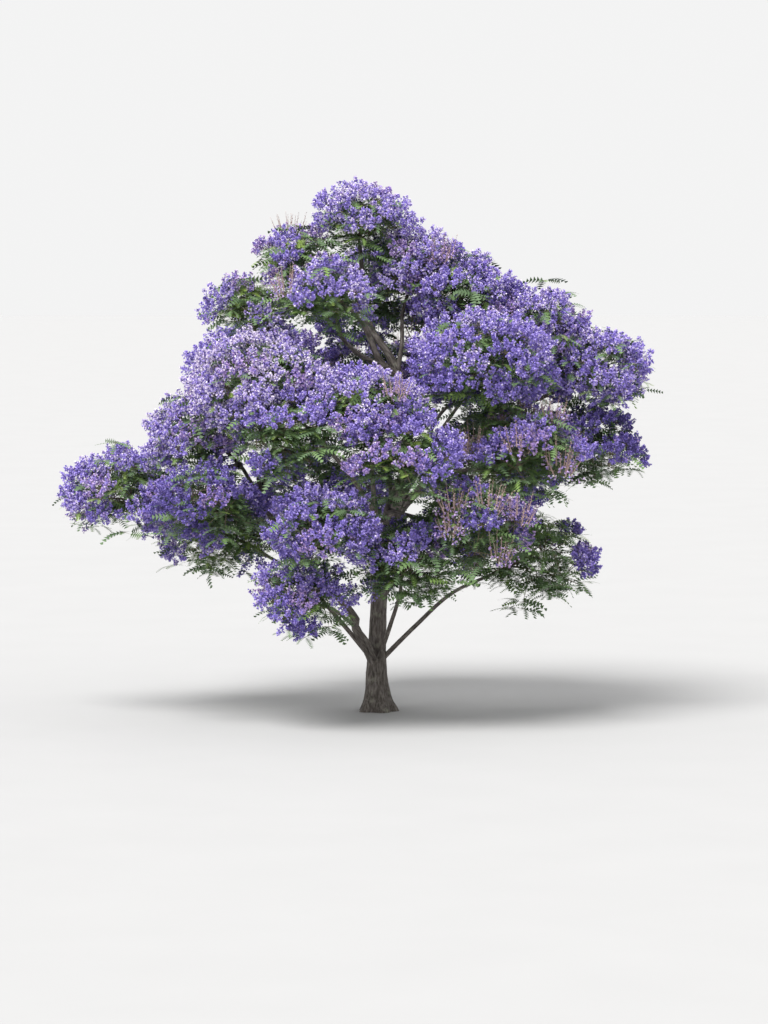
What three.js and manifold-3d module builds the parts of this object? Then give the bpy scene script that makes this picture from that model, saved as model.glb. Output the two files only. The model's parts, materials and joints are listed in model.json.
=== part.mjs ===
// A jacaranda tree in full bloom, rooted in the ground, about 12 m tall and 13 m across.
// Sizes are millimetres. +Z is up, +X is to the right of somebody who faces the tree, and +Y leads away
// from them. The origin is the middle of the flat cut under the trunk, at ground level.
//
// One trunk runs up through the crown. Boughs leave it and each other, and every bough ends where it
// enters its own mass of blossom and fern-like leaves. A mass is one solid: a stem, the twigs that fork
// from it by a seeded rule, a head of blossom on the upper twigs, and sprays of leaves round each twig.

import * as THREE from "three";
import { mergeVertices } from "three/addons/utils/BufferGeometryUtils.js";
import Module from "manifold-3d";

const wasm = await Module();
wasm.setup();

const GAP = 0.3; // the clearance between two neighbouring pieces

// The trunk
const TRUNK_PATH = [
  [0, 0, -400],
  [-30, 20, 1200],
  [110, 130, 3200],
  [640, -150, 5600],
  [415, -50, 7480],
  [-200, 60, 8580],
  [-400, 0, 10250],
];
const TRUNK_RADIUS = 235; // at breast height
const TRUNK_TOP_RADIUS = 42;
const TRUNK_TAPER = 0.85; // under 1, so that it thins early, where the lowest boughs leave it
const FLARE = 0.85; // how much wider the foot is than the trunk above it
const FLARE_HEIGHT = 420;
const ROOT_LOBES = 5;
const ROOT_LOBE_DEPTH = 0.16;
const TRUNK_SIDES = 15;
const TRUNK_STEPS = 12;

// The boughs
const BOUGH_TIP_RADIUS = 34;
const BOUGH_LOAD_RADIUS = 46; // a bough with one mass; the area of its section grows with each mass more
const BOUGH_COLLAR = 12; // what is added to every radius at the fork
const BOUGH_TAPER = 0.75;
const BOUGH_ARCH = 0.075; // how far a bough bows upwards, as a share of its length
const BOUGH_WANDER = 0.05; // how far it strays sideways
const BOUGH_SIDES = 5;
const BOUGH_STEPS = 5;
const STEPS_BY_SEEN_POINT = 2; // more, for each point that a bough is seen to pass
const FORK_LOWEST = 0.13; // boughs leave their parent between these shares of its length
const FORK_HIGHEST = 0.92;
const FORK_STEP = 0.01; // the fork is sought in steps of this share
const FORK_STRAIGHTNESS = 3.2; // how much a narrow angle counts against a short way

// A mass of foliage: its half depth and half height are shares of its half width
const MASS_DEPTH = 0.92;
const MASS_HEIGHT = 0.8;
const HUB_HEIGHT = 0.55; // a mass faces away from a point on the tree's axis at this share of its height
const FOOT_DEPTH = 0.6; // how far from its middle the bough enters it, as a share of the radius
const SPACE_MARGIN = 0.015; // what two masses leave free between their spaces
const WOOD_CLEARANCE = 40; // twigs and leaves stay this far from every limb
const WOOD_STEP = 50; // between the points on the limbs at which that is tested

// The twigs of a mass
const STEM_SIDES = 5;
const STEM_STEPS = 2;
const STEM_TIP_RADIUS = 26;
const STEM_TOP = -0.08; // where the stem ends beside the middle of the mass, as a share of the radius
const STEM_BEND = 0.4; // the share of the stem that keeps the bough's direction
const TWIGS_PER_METRE = 3.15; // for each metre of the mass's half width
const TWIG_SHELL = 0.55; // how far out the twigs end, as a share of the radius
const TWIG_SHELL_SPREAD = 0.08; // how much that share varies
const TWIG_LOWEST = -0.45; // the lowest twig's cosine from the pole of the mass
const TWIG_HIGHEST_FORK = 0.98; // along the stem
const TWIG_LOWEST_FORK = 0.4;
const TWIG_RADIUS = 20; // at its fork
const POLE_LEAN = 0.55; // how far the pole of a mass leans from the vertical to the outside of the tree
const GOLDEN_ANGLE = Math.PI * (3 - Math.sqrt(5));

// A head of blossom stands for a cluster of panicles, and a leaf for a spray of them.
const HEAD_LENGTH = 0.6; // as a share of the mass's half width
const HEAD_WIDTH = 0.52;
const HEAD_WIDEST = 0.4;
const HEAD_ROOT = 0.05; // how far down its twig a head starts
const HEAD_RISE = 0.5; // how far a head leans from its twig to the vertical
const LEAVES_BY_HEAD = 2;
const LEAVES_ON_TWIG = 4;
const LEAF_ROOT = 0.08; // how far down a leafy twig its leaves root
const LEAF_LENGTH = 0.72; // as a share of the mass's half width
const LEAF_WIDTH = 0.56; // as a share of the leaf's own length
const LEAF_THICKNESS = 0.05;
const LEAF_SHOULDER = 0.45; // where it is widest
const LEAF_DROOP = 0.5;
const LEAF_RISE = 1.6; // how much a ring of leaves turns from its twig to the level
const SHORTEST = 0.4; // what doesn't fit is made smaller by this step, down to this share
const SIZE_STEP = 0.1;
const MASS_SEED = 100; // the first mass's seed; the boughs' seeds are lower

// Blossom tops a mass down to the twigs whose direction has this much rise.
const BLOOM_LINES = { full: -0.62, most: -0.08, some: 0.35 };

// The plan of the crown. A row gives a mass of foliage by its place, its middle, its half width and its
// bloom. Its bough carries the same name and leaves the limb that "from" names, and where it is seen in
// the gaps of the crown, "via" gives the points that it passes. The crest has no bough: its stem stands
// on the tip of the trunk. The rows go from the top down on the near side, and then round the back.
const PLAN = [
  { name: "crest", middle: [-350, 0, 10780], spread: 1350, bloom: "most" },
  { name: "high_left", from: "trunk", middle: [-1780, -500, 9950], spread: 1200, bloom: "most",
    via: [[42, -250, 7730], [-372, -350, 8630]] },
  { name: "high_right", from: "trunk", middle: [750, 100, 9800], spread: 1300, bloom: "full" },
  { name: "left_knob", from: "high_left", middle: [-2830, -300, 8870], spread: 1200, bloom: "most" },
  { name: "upper_centre", from: "high_left", middle: [-1150, -2200, 9150], spread: 1300, bloom: "most",
    via: [[-390, -600, 7870], [-780, -900, 8250]] },
  { name: "upper_right", from: "trunk", middle: [1880, -400, 9250], spread: 1350, bloom: "full" },
  { name: "right_shoulder", from: "right_wing", middle: [3450, -500, 8520], spread: 1350, bloom: "full" },
  { name: "right_wing", from: "trunk", middle: [4720, -400, 7600], spread: 1400, bloom: "full" },
  { name: "left_shelf", from: "left_wing", middle: [-2450, -2600, 7300], spread: 1800, bloom: "full" },
  { name: "middle_right", from: "trunk", middle: [2200, -2600, 7750], spread: 1800, bloom: "full" },
  { name: "belt", from: "front", middle: [-200, -3600, 6800], spread: 1500, bloom: "full" },
  { name: "left_wing", from: "trunk", middle: [-3850, -1500, 6200], spread: 1400, bloom: "full",
    via: [[-484, -500, 1864], [-614, -700, 2279], [-2135, -1800, 4180], [-2620, -2100, 4999]] },
  { name: "far_left", from: "left_wing", middle: [-5620, -500, 4920], spread: 1450, bloom: "full" },
  { name: "under_left", from: "left_wing", middle: [-3600, -2500, 4700], spread: 1500, bloom: "most" },
  { name: "left_middle", from: "left_wing", middle: [-1900, -3800, 6200], spread: 1400, bloom: "some",
    via: [[-2526, -2300, 5570], [-2175, -2600, 5866]] },
  { name: "front", from: "trunk", middle: [550, -4000, 5800], spread: 1550, bloom: "most" },
  { name: "low_front", from: "front", middle: [-1180, -4200, 4400], spread: 1350, bloom: "full" },
  { name: "right_middle", from: "right_wing", middle: [3120, -2600, 5900], spread: 1650, bloom: "most" },
  { name: "right_end", from: "right_wing", middle: [4450, -400, 5850], spread: 1550, bloom: "most" },
  { name: "low_right", from: "front", middle: [1900, -3700, 4300], spread: 1600, bloom: "most" },
  { name: "skirt_right", from: "trunk", middle: [3300, -1300, 3500], spread: 1700, bloom: "most" },
  { name: "tail_left", from: "trunk", middle: [-1550, -3300, 2850], spread: 1350, bloom: "most" },
  { name: "tail_right", from: "trunk", middle: [650, -3300, 3500], spread: 1600, bloom: "some" },
  { name: "skirt_left", from: "trunk", middle: [-3450, 800, 3900], spread: 1650, bloom: "most" },
  { name: "back_crest", from: "trunk", middle: [-100, 1900, 9100], spread: 1700, bloom: "full" },
  { name: "back_left", from: "back", middle: [-2650, 1900, 7300], spread: 1900, bloom: "full" },
  { name: "back_right", from: "back", middle: [2600, 2100, 7750], spread: 1900, bloom: "full" },
  { name: "back", from: "trunk", middle: [-100, 3300, 7000], spread: 1950, bloom: "most" },
  { name: "back_low", from: "back", middle: [-1200, 3200, 4500], spread: 1950, bloom: "most" },
  { name: "back_low_right", from: "trunk", middle: [2600, 2500, 5400], spread: 1950, bloom: "most" },
];

const BARK = new THREE.MeshStandardMaterial({ color: 0x6f6258, roughness: 0.92, metalness: 0 });
const BLOSSOM = new THREE.MeshStandardMaterial({ color: 0x8573c4, roughness: 0.7, metalness: 0 });
const FOLIAGE = new THREE.MeshStandardMaterial({ color: 0x4f6b35, roughness: 0.65, metalness: 0 });

const UP = new THREE.Vector3(0, 0, 1);
const { lerp } = THREE.MathUtils;

const point = ([x, y, z]) => new THREE.Vector3(x, y, z);

// A stream of numbers from 0 to 1 that is the same on every run, by Lehmer's rule.
function seeded(seed) {
  const [multiplier, modulus] = [16807, 2147483647];
  let state = seed * 7919 + 104729; // two primes, so that near seeds start far apart
  return () => {
    state = (state * multiplier) % modulus;
    return state / modulus;
  };
}

function spline(points) {
  return new THREE.CatmullRomCurve3(points, false, "catmullrom", 0.5);
}

// A closed three.js geometry as a solid that can be joined and cut.
function solidOf(geometry) {
  const shape = geometry.clone();
  for (const name of Object.keys(shape.attributes)) {
    if (name !== "position") shape.deleteAttribute(name);
  }
  const merged = mergeVertices(shape, 1e-3);
  return new wasm.Manifold(
    new wasm.Mesh({
      numProp: 3,
      vertProperties: merged.attributes.position.array,
      triVerts: new Uint32Array(merged.index.array),
    }),
  );
}

function geometryOf(solid) {
  const mesh = solid.getMesh();
  const geometry = new THREE.BufferGeometry();
  geometry.setAttribute("position", new THREE.BufferAttribute(mesh.vertProperties, 3));
  geometry.setIndex(new THREE.BufferAttribute(mesh.triVerts, 1));
  const flat = geometry.toNonIndexed();
  flat.computeVertexNormals();
  return flat;
}

function largestPiece(solid) {
  return solid.decompose().reduce((best, piece) => (piece.volume() > best.volume() ? piece : best));
}

// A cylinder bent along a curve. radiusAt gives its radius for a share of the length and an angle, and
// longer is how far it runs on past both ends of the curve.
function taperedTube(curve, radiusAt, sides, steps, longer = 0) {
  const tube = new THREE.CylinderGeometry(1, 1, 1, sides, steps);
  const frames = curve.computeFrenetFrames(steps);
  const corner = tube.attributes.position;
  for (let i = 0; i < corner.count; i++) {
    const step = Math.round((corner.getY(i) + 0.5) * steps);
    const share = step / steps;
    const radius = radiusAt(share, Math.atan2(corner.getZ(i), corner.getX(i)));
    const onward = { 0: -longer, [steps]: longer }[step] ?? 0;
    const moved = curve
      .getPointAt(share)
      .addScaledVector(frames.tangents[step], onward)
      .addScaledVector(frames.binormals[step], corner.getX(i) * radius)
      .addScaledVector(frames.normals[step], corner.getZ(i) * radius);
    corner.setXYZ(i, moved.x, moved.y, moved.z);
  }
  return tube;
}

// Turns +X to a direction and keeps +Y level.
function basisAlong(direction) {
  const level = new THREE.Vector3().crossVectors(UP, direction);
  if (level.lengthSq() < 1e-6) level.set(0, 1, 0);
  level.normalize();
  return new THREE.Matrix4().makeBasis(direction, level, direction.clone().cross(level));
}

// The limbs

const masses = PLAN.map(massOf);
const limbs = new Map();

// Where a mass lies, and where its bough enters it: on its inner side, seen from low in the crown.
function massOf(row) {
  const middle = point(row.middle);
  const half = new THREE.Vector3(row.spread, row.spread * MASS_DEPTH, row.spread * MASS_HEIGHT);
  const hub = new THREE.Vector3(0, 0, middle.z * HUB_HEIGHT);
  const outward = middle.clone().sub(hub).divide(half).normalize();
  const foot = middle.clone().addScaledVector(outward.clone().multiply(half), -FOOT_DEPTH);
  return { ...row, middle, half, outward, foot };
}

// How many masses a limb carries, its own included.
function loadOn(name) {
  const children = masses.filter((mass) => mass.from === name);
  return 1 + children.reduce((sum, child) => sum + loadOn(child.name), 0);
}

function trunkLimb() {
  const curve = spline(TRUNK_PATH.map(point));
  const radiusAt = (share, angle) => {
    const height = Math.max(curve.getPointAt(share).z, 0);
    const taper = lerp(TRUNK_RADIUS, TRUNK_TOP_RADIUS, share ** TRUNK_TAPER);
    const flare = Math.exp(-height / FLARE_HEIGHT);
    return taper * (1 + FLARE * flare) * (1 + ROOT_LOBE_DEPTH * flare * Math.cos(ROOT_LOBES * angle));
  };
  return { curve, radiusAt, sides: TRUNK_SIDES, steps: TRUNK_STEPS };
}

// The share of the parent's length at which a bough leaves it for a target, at a narrow angle.
function forkShare(parent, target) {
  let best = FORK_LOWEST;
  let least = Infinity;
  for (let share = FORK_LOWEST; share <= FORK_HIGHEST; share += FORK_STEP) {
    const way = target.clone().sub(parent.getPointAt(share));
    const cosine = way.clone().normalize().dot(parent.getTangentAt(share));
    const cost = way.length() * (1 + FORK_STRAIGHTNESS * (1 - cosine));
    if (cost < least) [best, least] = [share, cost];
  }
  return best;
}

function boughLimb(mass, random) {
  const parent = limbs.get(mass.from).curve;
  const seen = (mass.via ?? []).map(point);
  const start = parent.getPointAt(forkShare(parent, seen[0] ?? mass.foot));
  const from = seen.at(-1) ?? start;
  const way = mass.foot.clone().sub(from);
  const side = new THREE.Vector3().crossVectors(way, UP).normalize();
  const bend = (share, lift) =>
    from
      .clone()
      .addScaledVector(way, share)
      .addScaledVector(UP, lift * BOUGH_ARCH * way.length())
      .addScaledVector(side, (random() * 2 - 1) * BOUGH_WANDER * way.length());
  const bends = seen.length ? [bend(0.5, 1)] : [bend(0.3, 0.8), bend(0.66, 1)];
  const curve = spline([start, ...seen, ...bends, mass.foot]);
  const baseRadius = BOUGH_LOAD_RADIUS * Math.sqrt(loadOn(mass.name)) + BOUGH_COLLAR;
  const radiusAt = (share) => lerp(baseRadius, BOUGH_TIP_RADIUS, share ** BOUGH_TAPER);
  const steps = BOUGH_STEPS + STEPS_BY_SEEN_POINT * seen.length;
  return { curve, radiusAt, sides: BOUGH_SIDES, steps };
}

// A limb's solid. With a swell it is that much thicker, and is what its neighbours are cut back by.
function limbSolid(limb, swell) {
  const radiusAt = (share, angle) => limb.radiusAt(share, angle) + swell;
  return solidOf(taperedTube(limb.curve, radiusAt, limb.sides, limb.steps, swell));
}

function addLimb(name, limb) {
  limb.solid = limbSolid(limb, 0);
  for (const other of limbs.values()) limb.solid = limb.solid.subtract(other.swollen);
  limb.solid = largestPiece(limb.solid);
  limb.swollen = limbSolid(limb, GAP);
  limbs.set(name, limb);
}

// The trunk's path starts below the ground, and its solid is cut flat at ground level.
addLimb("trunk", trunkLimb());
const below = 10 * TRUNK_RADIUS;
const ground = new THREE.BoxGeometry(below, below, below).translate(0, 0, -below / 2);
limbs.get("trunk").solid = limbs.get("trunk").solid.subtract(solidOf(ground));

// A bough is made once its parent is there. The numbers of its row seed how it wanders.
const waiting = masses.filter((mass) => mass.from);
while (waiting.length) {
  const [mass] = waiting.splice(waiting.findIndex((one) => limbs.has(one.from)), 1);
  addLimb(mass.name, boughLimb(mass, seeded(masses.indexOf(mass))));
}

// The masses

// How far p is from a mass's middle: 1 on the border of its space.
function depthIn(mass, p) {
  return p.clone().sub(mass.middle).divide(mass.half).length();
}

// Whether p is in a mass's own space: inside it, and deeper in it than in every other mass.
function inOwnSpace(mass, p) {
  const own = depthIn(mass, p);
  return own <= 1 && masses.every((other) => other === mass || depthIn(other, p) > own + SPACE_MARGIN);
}

// Points along every limb with the limb's radius there.
const wood = [...limbs.values()].flatMap(({ curve, radiusAt }) => {
  const count = Math.ceil(curve.getLength() / WOOD_STEP);
  return Array.from({ length: count + 1 }, (_, i) => ({
    at: curve.getPointAt(i / count),
    radius: radiusAt(i / count, 0),
  }));
});

// Whether a twig, leaf or head stays in its mass's own space and off the limbs. The points of the limbs
// are seen from its root along its length, its width and its thickness.
function fits(mass, root, way, length, width, thickness) {
  const basis = basisAlong(way).setPosition(root);
  const place = (along, across) => new THREE.Vector3(along, across, 0).applyMatrix4(basis);
  const along = [0.5, 0.7, 0.85, 1].map((share) => place(length * share, 0));
  const edges = [-0.5, 0.5].map((side) => place(length * LEAF_SHOULDER, width * side));
  if (![...along, ...edges].every((p) => inOwnSpace(mass, p))) return false;
  const seenFromRoot = basis.clone().invert();
  return wood.every(({ at, radius }) => {
    const p = at.clone().applyMatrix4(seenFromRoot);
    const room = radius + WOOD_CLEARANCE;
    const [beside, above] = [Math.abs(p.y) - width / 2, Math.abs(p.z) - thickness / 2];
    return p.x < -room || p.x > length + room || beside > room || above > room;
  });
}

// The largest size, as a share of the full one, at which a leaf or head fits, or 0.
function fittingShare(mass, root, way, length, width, thickness) {
  for (let share = 1; share >= SHORTEST; share -= SIZE_STEP) {
    if (fits(mass, root, way, length * share, width * share, thickness * share)) return share;
  }
  return 0;
}

// A leaf or a head of blossom: an octahedron stretched from its root to its tip.
function spindle(root, way, length, width, thickness, widest) {
  const shape = new THREE.OctahedronGeometry(1);
  const corner = shape.attributes.position;
  for (let i = 0; i < corner.count; i++) {
    if (Math.abs(corner.getX(i)) < 0.5) corner.setX(i, widest * 2 - 1);
  }
  shape.scale(length / 2, width / 2, thickness / 2).translate(length / 2, 0, 0);
  return solidOf(shape.applyMatrix4(basisAlong(way)).translate(root.x, root.y, root.z));
}

// Directions spread evenly round a pole by the golden angle, from the pole down to TWIG_LOWEST.
function spreadRound(pole, count, turn) {
  const basis = basisAlong(pole);
  return Array.from({ length: count }, (_, i) => {
    const cosine = 1 - ((i + 0.5) / count) * (1 - TWIG_LOWEST);
    const sine = Math.sqrt(1 - cosine * cosine);
    const angle = turn + i * GOLDEN_ANGLE;
    return new THREE.Vector3(cosine, sine * Math.cos(angle), sine * Math.sin(angle)).applyMatrix4(basis);
  });
}

// The stem starts where the bough ends, and leads to just below the middle of the mass.
function stemOf(mass) {
  const bough = limbs.get(mass.from ? mass.name : "trunk");
  const arriving = bough.curve.getTangentAt(1);
  const start = bough.curve.getPointAt(1).addScaledVector(arriving, GAP);
  const top = mass.middle.clone().addScaledVector(mass.outward.clone().multiply(mass.half), STEM_TOP);
  const bend = start.clone().addScaledVector(arriving, top.distanceTo(start) * STEM_BEND);
  const radiusAt = (share) => lerp(bough.radiusAt(1, 0), STEM_TIP_RADIUS, share);
  return { curve: spline([start, bend, top]), radiusAt };
}

// A twig is a slim three-sided cone from its fork to its end.
function twigSolid(fork, end) {
  const way = end.clone().sub(fork);
  const twig = new THREE.ConeGeometry(TWIG_RADIUS, way.length(), 3).rotateZ(-Math.PI / 2);
  twig.translate(way.length() / 2, 0, 0).applyMatrix4(basisAlong(way.normalize()));
  return solidOf(twig.translate(fork.x, fork.y, fork.z));
}

// The head of blossom on a twig and the place in it where its leaves root, or nothing on a leafy twig.
function headOn(mass, fork, end, way) {
  if (way.z < BLOOM_LINES[mass.bloom]) return null;
  const size = [HEAD_LENGTH, HEAD_WIDTH, HEAD_WIDTH].map((x) => x * mass.spread);
  const rising = way.clone().addScaledVector(UP, HEAD_RISE).normalize();
  const root = end.clone().lerp(fork, HEAD_ROOT);
  const share = fittingShare(mass, root, rising, ...size);
  if (!share) return null;
  const heart = root.clone().addScaledVector(rising, HEAD_WIDEST * size[0] * share);
  return { solid: spindle(root, rising, ...size.map((x) => x * share), HEAD_WIDEST), heart };
}

// Leaves in an even ring round a root, each as long as it fits.
function leafRing(mass, root, way, count, turn) {
  const basis = basisAlong(way.clone().addScaledVector(UP, LEAF_RISE).normalize());
  const full = LEAF_LENGTH * mass.spread;
  const leaves = [];
  for (let k = 0; k < count; k++) {
    const angle = turn + (k * 2 * Math.PI) / count;
    const leafWay = new THREE.Vector3(-LEAF_DROOP, Math.cos(angle), Math.sin(angle));
    leafWay.applyMatrix4(basis).normalize();
    const size = [full, LEAF_WIDTH * full, LEAF_THICKNESS * full];
    const share = fittingShare(mass, root, leafWay, ...size);
    if (share) leaves.push(spindle(root, leafWay, ...size.map((x) => x * share), LEAF_SHOULDER));
  }
  return leaves;
}

function massSolid(mass, random) {
  const stem = stemOf(mass);
  const pieces = [solidOf(taperedTube(stem.curve, stem.radiusAt, STEM_SIDES, STEM_STEPS))];
  const pole = mass.outward.clone().multiplyScalar(POLE_LEAN).add(UP).normalize();
  const count = Math.round((TWIGS_PER_METRE * mass.spread) / 1000);
  spreadRound(pole, count, random() * 2 * Math.PI).forEach((way, i) => {
    const shell = TWIG_SHELL * lerp(1 - TWIG_SHELL_SPREAD, 1 + TWIG_SHELL_SPREAD, random());
    const turn = random() * 2 * Math.PI;
    const end = mass.middle.clone().add(way.clone().multiply(mass.half).multiplyScalar(shell));
    const fork = stem.curve.getPointAt(lerp(TWIG_HIGHEST_FORK, TWIG_LOWEST_FORK, i / count));
    const twigWay = end.clone().sub(fork).normalize();
    if (!fits(mass, fork, twigWay, fork.distanceTo(end), 2 * TWIG_RADIUS, 2 * TWIG_RADIUS)) return;
    const head = headOn(mass, fork, end, way);
    pieces.push(twigSolid(fork, end));
    if (head) pieces.push(head.solid, ...leafRing(mass, head.heart, way, LEAVES_BY_HEAD, turn));
    else pieces.push(...leafRing(mass, end.clone().lerp(fork, LEAF_ROOT), way, LEAVES_ON_TWIG, turn));
  });
  return largestPiece(wasm.Manifold.union(pieces));
}

// The tree

const tree = new THREE.Group();
tree.name = "jacaranda_tree";

function addPiece(name, solid, material) {
  const mesh = new THREE.Mesh(geometryOf(solid), material);
  mesh.name = name;
  tree.add(mesh);
}

for (const [name, limb] of limbs) {
  addPiece(name === "trunk" ? name : `${name}_bough`, limb.solid, BARK);
}
masses.forEach((mass, i) => {
  const material = mass.bloom === "some" ? FOLIAGE : BLOSSOM;
  addPiece(`${mass.name}_mass`, massSolid(mass, seeded(MASS_SEED + i)), material);
});

export default tree;
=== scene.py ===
# A jacaranda tree in full bloom, rooted in the ground.
# Sizes are metres. +Z is up, +X is to the right of somebody who faces the tree, and +Y leads away.
#
# The limbs, stems and twigs grow by the part's own rule. From there they fork on into shoots, and the
# shoots carry panicles of blossom on the outside of the crown and fern-like leaves below and within.

import json
import math

import bpy
import numpy as np
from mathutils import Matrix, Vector, noise

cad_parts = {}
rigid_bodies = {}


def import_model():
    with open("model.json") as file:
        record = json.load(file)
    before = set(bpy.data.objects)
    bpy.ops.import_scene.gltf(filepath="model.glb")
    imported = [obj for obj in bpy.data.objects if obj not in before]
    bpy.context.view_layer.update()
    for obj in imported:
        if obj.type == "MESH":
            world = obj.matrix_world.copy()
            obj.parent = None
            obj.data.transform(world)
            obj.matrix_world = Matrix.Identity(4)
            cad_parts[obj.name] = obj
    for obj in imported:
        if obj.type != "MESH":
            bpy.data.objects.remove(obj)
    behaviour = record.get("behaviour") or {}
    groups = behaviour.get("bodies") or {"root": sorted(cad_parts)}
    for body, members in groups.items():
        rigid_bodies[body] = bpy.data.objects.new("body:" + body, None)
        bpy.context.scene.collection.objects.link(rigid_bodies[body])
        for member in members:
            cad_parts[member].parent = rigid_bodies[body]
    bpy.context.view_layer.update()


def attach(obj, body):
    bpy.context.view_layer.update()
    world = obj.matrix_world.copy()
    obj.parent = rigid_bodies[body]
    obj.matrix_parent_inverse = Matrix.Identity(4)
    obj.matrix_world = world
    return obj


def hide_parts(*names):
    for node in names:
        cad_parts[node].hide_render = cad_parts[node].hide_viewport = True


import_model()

# The trunk, as in the part
TRUNK_PATH = [
    (0, 0, -0.4),
    (-0.03, 0.02, 1.2),
    (0.11, 0.13, 3.2),
    (0.64, -0.15, 5.6),
    (0.415, -0.05, 7.48),
    (-0.2, 0.06, 8.58),
    (-0.4, 0, 10.25),
]
TRUNK_RADIUS = 0.235  # at breast height
TRUNK_TOP_RADIUS = 0.042
TRUNK_TAPER = 0.85
FLARE = 0.85  # how much wider the foot is than the trunk above it
FLARE_HEIGHT = 0.42
ROOT_LOBES = 5
ROOT_LOBE_DEPTH = 0.16

# The boughs, as in the part
BOUGH_TIP_RADIUS = 0.034
BOUGH_LOAD_RADIUS = 0.046  # a bough with one mass; its section grows with each mass more
BOUGH_COLLAR = 0.012
BOUGH_TAPER = 0.75
BOUGH_ARCH = 0.075
BOUGH_WANDER = 0.05
FORK_LOWEST = 0.13
FORK_HIGHEST = 0.92
FORK_STEP = 0.01
FORK_STRAIGHTNESS = 3.2

# The masses of foliage and their twigs, as in the part
MASS_DEPTH = 0.92
MASS_HEIGHT = 0.8
HUB_HEIGHT = 0.55
FOOT_DEPTH = 0.6
SPACE_MARGIN = 0.015
STEM_TIP_RADIUS = 0.026
STEM_TOP = -0.08
STEM_BEND = 0.4
TWIGS_PER_METRE = 3.15
TWIG_SHELL = 0.55
TWIG_SHELL_SPREAD = 0.08
TWIG_LOWEST = -0.45
TWIG_HIGHEST_FORK = 0.98
TWIG_LOWEST_FORK = 0.4
TWIG_RADIUS = 0.02
POLE_LEAN = 0.55
GOLDEN_ANGLE = math.pi * (3 - math.sqrt(5))
MASS_SEED = 100
BLOOM_LINES = {"full": -0.62, "most": -0.08, "some": 0.35}

# The plan of the crown, as in the part: the mass, the limb that its bough leaves, its middle, its half
# width, its bloom, and the points that its bough is seen to pass.
PLAN = [
    ("crest", None, (-0.35, 0, 10.78), 1.35, "most", []),
    ("high_left", "trunk", (-1.78, -0.5, 9.95), 1.2, "most",
     [(0.042, -0.25, 7.73), (-0.372, -0.35, 8.63)]),
    ("high_right", "trunk", (0.75, 0.1, 9.8), 1.3, "full", []),
    ("left_knob", "high_left", (-2.83, -0.3, 8.87), 1.2, "most", []),
    ("upper_centre", "high_left", (-1.15, -2.2, 9.15), 1.3, "most",
     [(-0.39, -0.6, 7.87), (-0.78, -0.9, 8.25)]),
    ("upper_right", "trunk", (1.88, -0.4, 9.25), 1.35, "full", []),
    ("right_shoulder", "right_wing", (3.45, -0.5, 8.52), 1.35, "full", []),
    ("right_wing", "trunk", (4.72, -0.4, 7.6), 1.4, "full", []),
    ("left_shelf", "left_wing", (-2.45, -2.6, 7.3), 1.8, "full", []),
    ("middle_right", "trunk", (2.2, -2.6, 7.75), 1.8, "full", []),
    ("belt", "front", (-0.2, -3.6, 6.8), 1.5, "full", []),
    ("left_wing", "trunk", (-3.85, -1.5, 6.2), 1.4, "full",
     [(-0.484, -0.5, 1.864), (-0.614, -0.7, 2.279), (-2.135, -1.8, 4.18), (-2.62, -2.1, 4.999)]),
    ("far_left", "left_wing", (-5.62, -0.5, 4.92), 1.45, "full", []),
    ("under_left", "left_wing", (-3.6, -2.5, 4.7), 1.5, "most", []),
    ("left_middle", "left_wing", (-1.9, -3.8, 6.2), 1.4, "some",
     [(-2.526, -2.3, 5.57), (-2.175, -2.6, 5.866)]),
    ("front", "trunk", (0.55, -4, 5.8), 1.55, "most", []),
    ("low_front", "front", (-1.18, -4.2, 4.4), 1.35, "full", []),
    ("right_middle", "right_wing", (3.12, -2.6, 5.9), 1.65, "most", []),
    ("right_end", "right_wing", (4.45, -0.4, 5.85), 1.55, "most", []),
    ("low_right", "front", (1.9, -3.7, 4.3), 1.6, "most", []),
    ("skirt_right", "trunk", (3.3, -1.3, 3.5), 1.7, "most", []),
    ("tail_left", "trunk", (-1.55, -3.3, 2.85), 1.35, "most", []),
    ("tail_right", "trunk", (0.65, -3.3, 3.5), 1.6, "some", []),
    ("skirt_left", "trunk", (-3.45, 0.8, 3.9), 1.65, "most", []),
    ("back_crest", "trunk", (-0.1, 1.9, 9.1), 1.7, "full", []),
    ("back_left", "back", (-2.65, 1.9, 7.3), 1.9, "full", []),
    ("back_right", "back", (2.6, 2.1, 7.75), 1.9, "full", []),
    ("back", "trunk", (-0.1, 3.3, 7), 1.95, "most", []),
    ("back_low", "back", (-1.2, 3.2, 4.5), 1.95, "most", []),
    ("back_low_right", "trunk", (2.6, 2.5, 5.4), 1.95, "most", []),
]

# The age of the blossom: the share of a mass's domes that are spent, bare upright spikes with a few
# flowers left on them, and the share that are old, and fade to mauve
SPENT = {"right_middle": 0.6, "low_right": 0.3, "high_left": 0.12, "crest": 0.06}
SPENT_ELSEWHERE = 0.03
SPENT_HEIGHT = 2.1  # of a bare spike, as a share of the fresh panicle's
OLD = {"high_left": 0.6, "left_shelf": 0.15, "right_shoulder": 0.3, "front": 0.35, "tail_right": 0.4}
OLD_ELSEWHERE = 0.14
FLOWERS_LEFT = {"fresh": 1.0, "old": 0.85, "spent": 0.3}  # the share of a panicle's flowers still on it
FLOWERS_FADED = {"fresh": 0.03, "old": 0.65, "spent": 0.65}

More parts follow.
